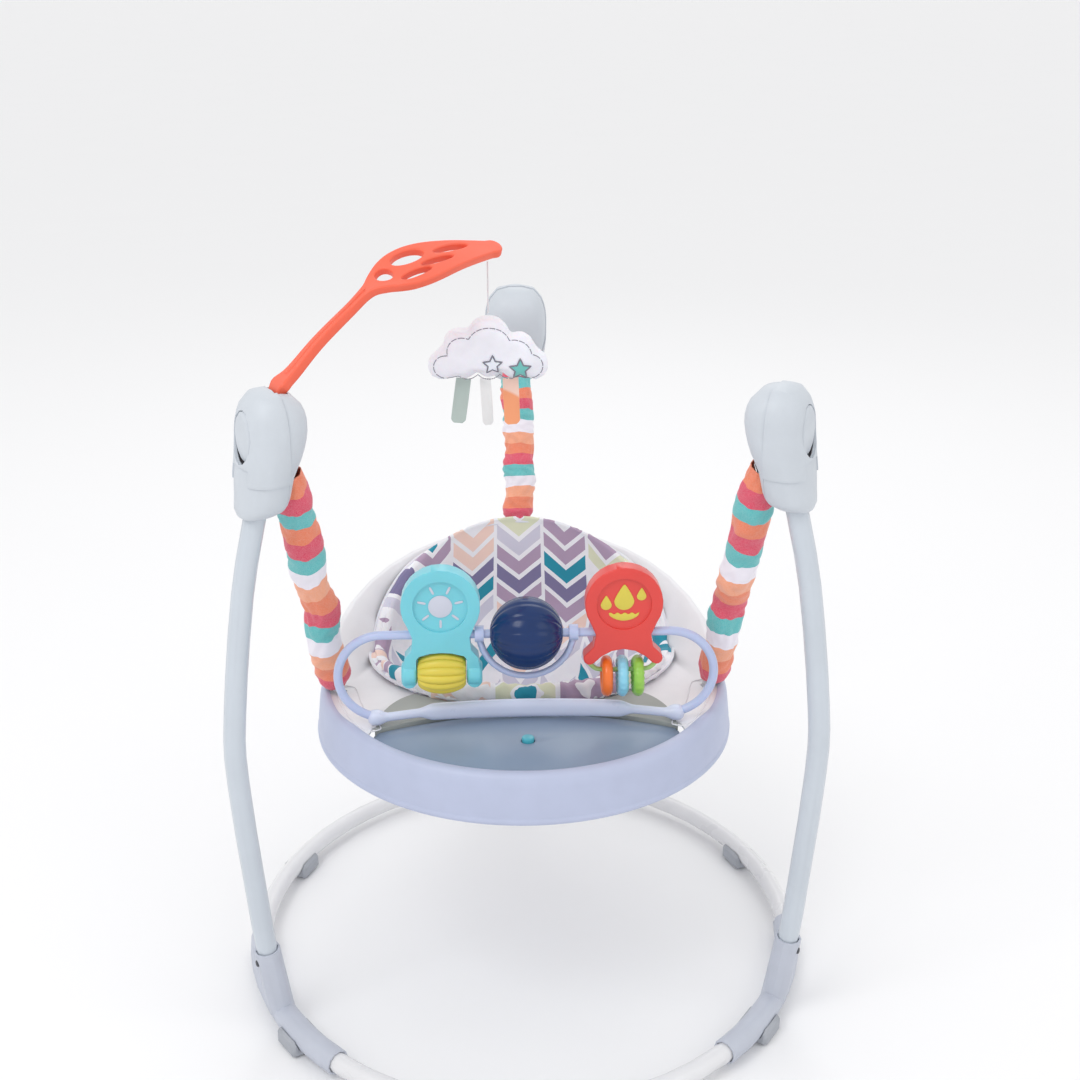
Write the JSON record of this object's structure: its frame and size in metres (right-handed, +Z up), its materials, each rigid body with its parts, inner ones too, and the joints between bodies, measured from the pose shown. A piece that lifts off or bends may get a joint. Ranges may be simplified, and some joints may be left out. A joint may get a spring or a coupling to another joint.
{
  "type": "activity jumper",
  "caption": "Baby activity jumper: floor hoop, three bowed posts with spring housings, and a bouncing toy tray with a cloth seat and hanging cloud toy.",
  "frame": {"origin": "on the floor, under the middle of the object's box", "axes": "+Z up, +Y towards the rear post, +X to the right of a viewer who faces the toys from the front"},
  "size_m": [0.75, 0.8302, 0.9722],
  "materials": {
    "hoop_paint": "satin white paint",
    "post_paint": "satin pale grey-blue paint",
    "connector_plastic": "fine matt grain",
    "dark_plastic": "matt",
    "housing_plastic": "fine matt grain",
    "steel": "bright zinc",
    "striped_cloth": "gathered striped polyester in orange, crimson, teal, white and peach",
    "webbing": "flat woven tape and cord",
    "foot_rubber": "matt moulded rubber",
    "coral_plastic": "satin",
    "white_plush": "soft short pile with grey stitching",
    "ribbon_cloth": "satin ribbon",
    "tray_white": "satin",
    "tray_lilac": "satin",
    "console_slate": "satin",
    "teal_plastic": "soft gloss",
    "printed_cloth": "woven polyester with a chevron print",
    "pale_lilac_plastic": "soft gloss",
    "lilac_plastic": "soft gloss",
    "navy_plastic": "high gloss",
    "yellow_plastic": "soft gloss",
    "red_plastic": "soft gloss",
    "green_plastic": "soft gloss",
    "orange_plastic": "soft gloss",
    "sky_plastic": "soft gloss"
  },
  "bodies": {
    "frame": {"connector_left": "connector_plastic", "connector_rear": "connector_plastic", "connector_right": "connector_plastic", "foot_front_left": "foot_rubber", "foot_front_right": "foot_rubber", "foot_rear_left": "foot_rubber", "foot_rear_right": "foot_rubber", "hoop_front": "hoop_paint", "hoop_rear_left": "hoop_paint", "hoop_rear_right": "hoop_paint", "housing_cap_left": "housing_plastic", "housing_cap_rear": "housing_plastic", "housing_cap_right": "housing_plastic", "housing_inner_left": "housing_plastic", "housing_inner_rear": "housing_plastic", "housing_inner_right": "housing_plastic", "housing_outer_left": "housing_plastic", "housing_outer_rear": "housing_plastic", "housing_outer_right": "housing_plastic", "post_left": "post_paint", "post_rear": "post_paint", "post_right": "post_paint", "sleeve_left": "striped_cloth", "sleeve_rear": "striped_cloth", "sleeve_right": "striped_cloth", "snap_button_left": "dark_plastic", "snap_button_rear": "dark_plastic", "snap_button_right": "dark_plastic", "spring_left": "steel", "spring_pin_left": "steel", "spring_pin_rear": "steel", "spring_pin_right": "steel", "spring_rear": "steel", "spring_right": "steel", "toy_arm": "coral_plastic"},
    "seat": {"strap_left": "webbing", "strap_right": "webbing", "strap_rear": "webbing", "tray_deck": "tray_white", "tray_skirt": "tray_lilac", "console_cover": "console_slate", "seat_hoop": "steel", "seat_sling": "printed_cloth", "front_bar": "pale_lilac_plastic", "toy_rail": "lilac_plastic", "ball_yoke": "lilac_plastic"},
    "button": {"console_button": "teal_plastic"},
    "ball": {"spin_ball": "navy_plastic"},
    "sun_paddle_body": {"sun_paddle": "teal_plastic"},
    "roller_body": {"roller": "yellow_plastic"},
    "rain_paddle_body": {"rain_paddle": "red_plastic", "bead_wire": "green_plastic"},
    "bead_orange_body": {"bead_orange": "orange_plastic"},
    "bead_sky_body": {"bead_sky": "sky_plastic"},
    "bead_green_body": {"bead_green": "green_plastic"},
    "string": {"cloud_string": "webbing"},
    "cloud_body": {"cloud": "white_plush", "ribbon_grey": "ribbon_cloth", "ribbon_white": "ribbon_cloth", "ribbon_peach": "ribbon_cloth"}
  },
  "joints": [
    {"name": "bounce", "type": "slide", "parent": "frame", "child": "seat", "axis": [0, 0, 1], "range_m": [-0.08, 0.05], "stiffness_N_per_m": 900, "springref_m": 0.0374, "deforming": ["spring_left", "sleeve_left", "spring_right", "sleeve_right", "spring_rear", "sleeve_rear"]},
    {"name": "button_press", "type": "slide", "parent": "seat", "child": "button", "axis": [0, 0, 1], "range_m": [-0.003, 0], "stiffness_N_per_m": 400},
    {"name": "ball_spin", "type": "hinge", "parent": "seat", "child": "ball", "pos_m": [0, -0.13815, 0.513], "axis": [1, 0, 0], "continuous": true},
    {"name": "sun_paddle_swing", "type": "hinge", "parent": "seat", "child": "sun_paddle_body", "pos_m": [-0.103, -0.13815, 0.513], "axis": [1, 0, 0], "range_deg": [-30, 30]},
    {"name": "roller_spin", "type": "hinge", "parent": "sun_paddle_body", "child": "roller_body", "pos_m": [-0.103, -0.13815, 0.463], "axis": [1, 0, 0], "continuous": true},
    {"name": "rain_paddle_swing", "type": "hinge", "parent": "seat", "child": "rain_paddle_body", "pos_m": [0.117, -0.13815, 0.513], "axis": [1, 0, 0], "range_deg": [-30, 30]},
    {"name": "bead_orange_slide", "type": "slide", "parent": "rain_paddle_body", "child": "bead_orange_body", "axis": [1, 0, 0], "range_m": [-0.004, 0.004]},
    {"name": "bead_sky_slide", "type": "slide", "parent": "rain_paddle_body", "child": "bead_sky_body", "axis": [1, 0, 0], "range_m": [-0.004, 0.004]},
    {"name": "bead_green_slide", "type": "slide", "parent": "rain_paddle_body", "child": "bead_green_body", "axis": [1, 0, 0], "range_m": [-0.004, 0.004]},
    {"name": "string_swing", "type": "hinge", "parent": "frame", "child": "string", "pos_m": [-0.041, -0.04015, 0.9445], "axis": [0, 1, 0], "range_deg": [-20, 20]},
    {"name": "cloud_spin", "type": "hinge", "parent": "string", "child": "cloud_body", "pos_m": [-0.041, -0.04015, 0.8425], "axis": [0, 0, 1], "continuous": true}
  ]
}
